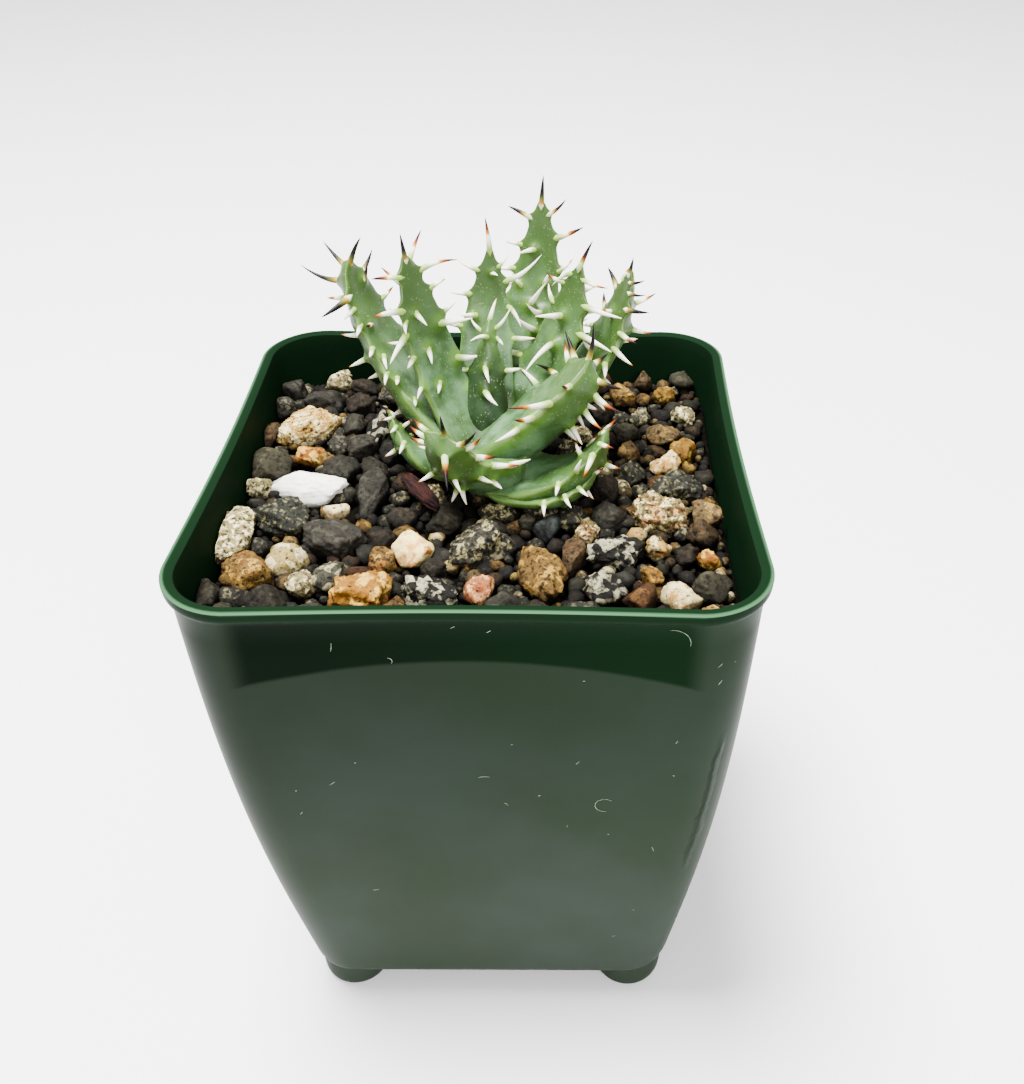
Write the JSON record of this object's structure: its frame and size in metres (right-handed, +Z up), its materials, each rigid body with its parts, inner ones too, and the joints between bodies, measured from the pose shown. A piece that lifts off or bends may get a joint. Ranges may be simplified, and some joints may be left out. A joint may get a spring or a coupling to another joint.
{
  "type": "potted spiny aloe",
  "caption": "Young rosette of upright, blue-green aloe leaves with white to dark horn-like spines, rooted in mixed river gravel in a thin square green nursery pot on short feet.",
  "frame": {"origin": "middle of the pot's footprint, on the surface that its feet stand on", "axes": "+Z up; -Y is the side from which the rosette shows best; +X is that viewer's right"},
  "size_m": [0.076, 0.076, 0.1195],
  "materials": {
    "pot": "satin, moulded, slightly scuffed",
    "potting_mix": "loose, fibrous",
    "stem": "dull",
    "leaf": "waxy, with a pale bloom",
    "spine": "horn-like, fine ribs",
    "gravel": "mixed river gravel, dry",
    "bark": "rough",
    "stone_white": "weathered quartz",
    "stone_dark_flecked": "dark with tan flecks",
    "stone_dark_smooth": "water-worn",
    "stone_pale_granite": "granular",
    "stone_cream": "waxy quartz",
    "stone_orange": "iron-stained",
    "stone_black_streaked": "black with white streaks",
    "stone_grey_granite": "granular",
    "stone_tan_long": "sandy",
    "stone_gold_grey": "mixed ochre and grey",
    "stone_black_speckled": "black and white grains",
    "stone_dark_green": "dull, dark olive"
  },
  "bodies": {
    "root": {"pot": "pot", "potting_mix": "potting_mix", "stem_and_roots": "stem", "leaf_heart": "leaf", "leaf_back_centre": "leaf", "leaf_right": "leaf", "leaf_left": "leaf", "leaf_back_tall": "leaf", "leaf_front_right": "leaf", "leaf_outer_right": "leaf", "leaf_outer_left": "leaf", "leaf_front": "leaf", "leaf_low_right": "leaf", "leaf_low_back": "leaf", "leaf_low_left": "leaf", "leaf_lowest_right": "leaf", "gravel": "gravel", "bark_chip": "bark", "stone_white": "stone_white", "stone_dark_flecked": "stone_dark_flecked", "stone_dark_smooth": "stone_dark_smooth", "stone_pale_granite": "stone_pale_granite", "stone_cream": "stone_cream", "stone_orange": "stone_orange", "stone_black_streaked": "stone_black_streaked", "stone_grey_granite": "stone_grey_granite", "stone_tan_long": "stone_tan_long", "stone_gold_grey": "stone_gold_grey", "stone_black_speckled": "stone_black_speckled", "stone_dark_green": "stone_dark_green"}
  },
  "joints": []
}
